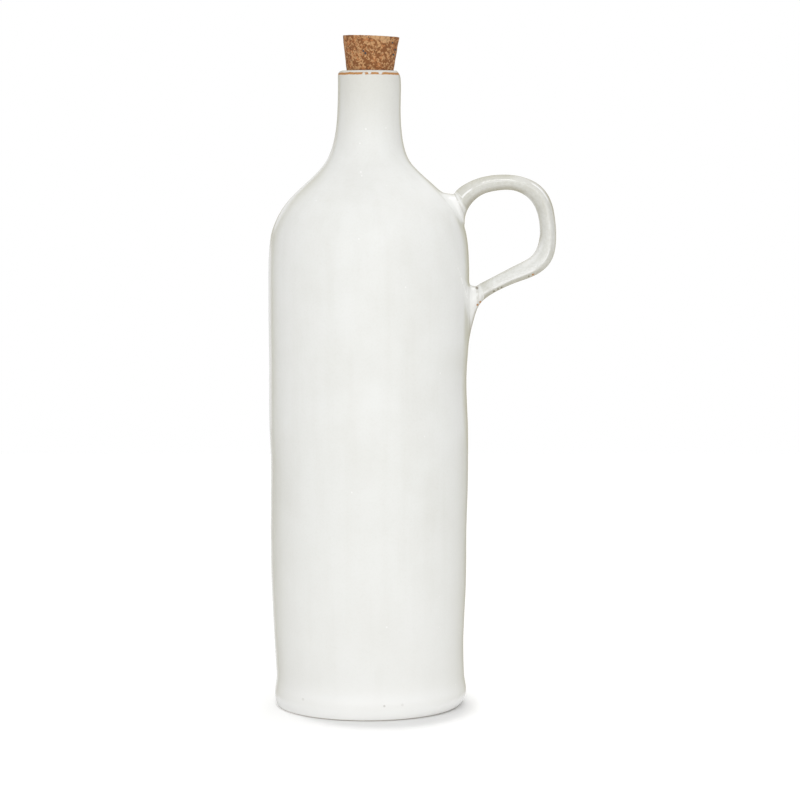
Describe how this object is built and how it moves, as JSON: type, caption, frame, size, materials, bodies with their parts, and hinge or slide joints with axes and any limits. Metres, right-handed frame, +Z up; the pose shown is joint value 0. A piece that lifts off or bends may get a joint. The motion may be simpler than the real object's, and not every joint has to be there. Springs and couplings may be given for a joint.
{
  "type": "oil bottle",
  "caption": "Tall glazed stoneware oil bottle with a straight narrow neck, a pulled loop handle on its shoulder and a tapered cork stopper.",
  "frame": {"origin": "centre of the base, on the axis of the bottle, at the table", "axes": "+Z up along the axis of the bottle, +X from the axis towards the handle, +Y away from the camera"},
  "size_m": [0.0988, 0.069, 0.23],
  "materials": {
    "glazed_stoneware": "glossy off-white glaze, thin and warm at the lip",
    "cork": "matte pressed cork granules"
  },
  "bodies": {
    "bottle": {"bottle": "glazed_stoneware"},
    "stopper": {"cork_stopper": "cork"}
  },
  "joints": [
    {"name": "stopper_pull", "type": "slide", "parent": "bottle", "child": "stopper", "axis": [0, 0, 1], "range_m": [0, 0.03]}
  ]
}
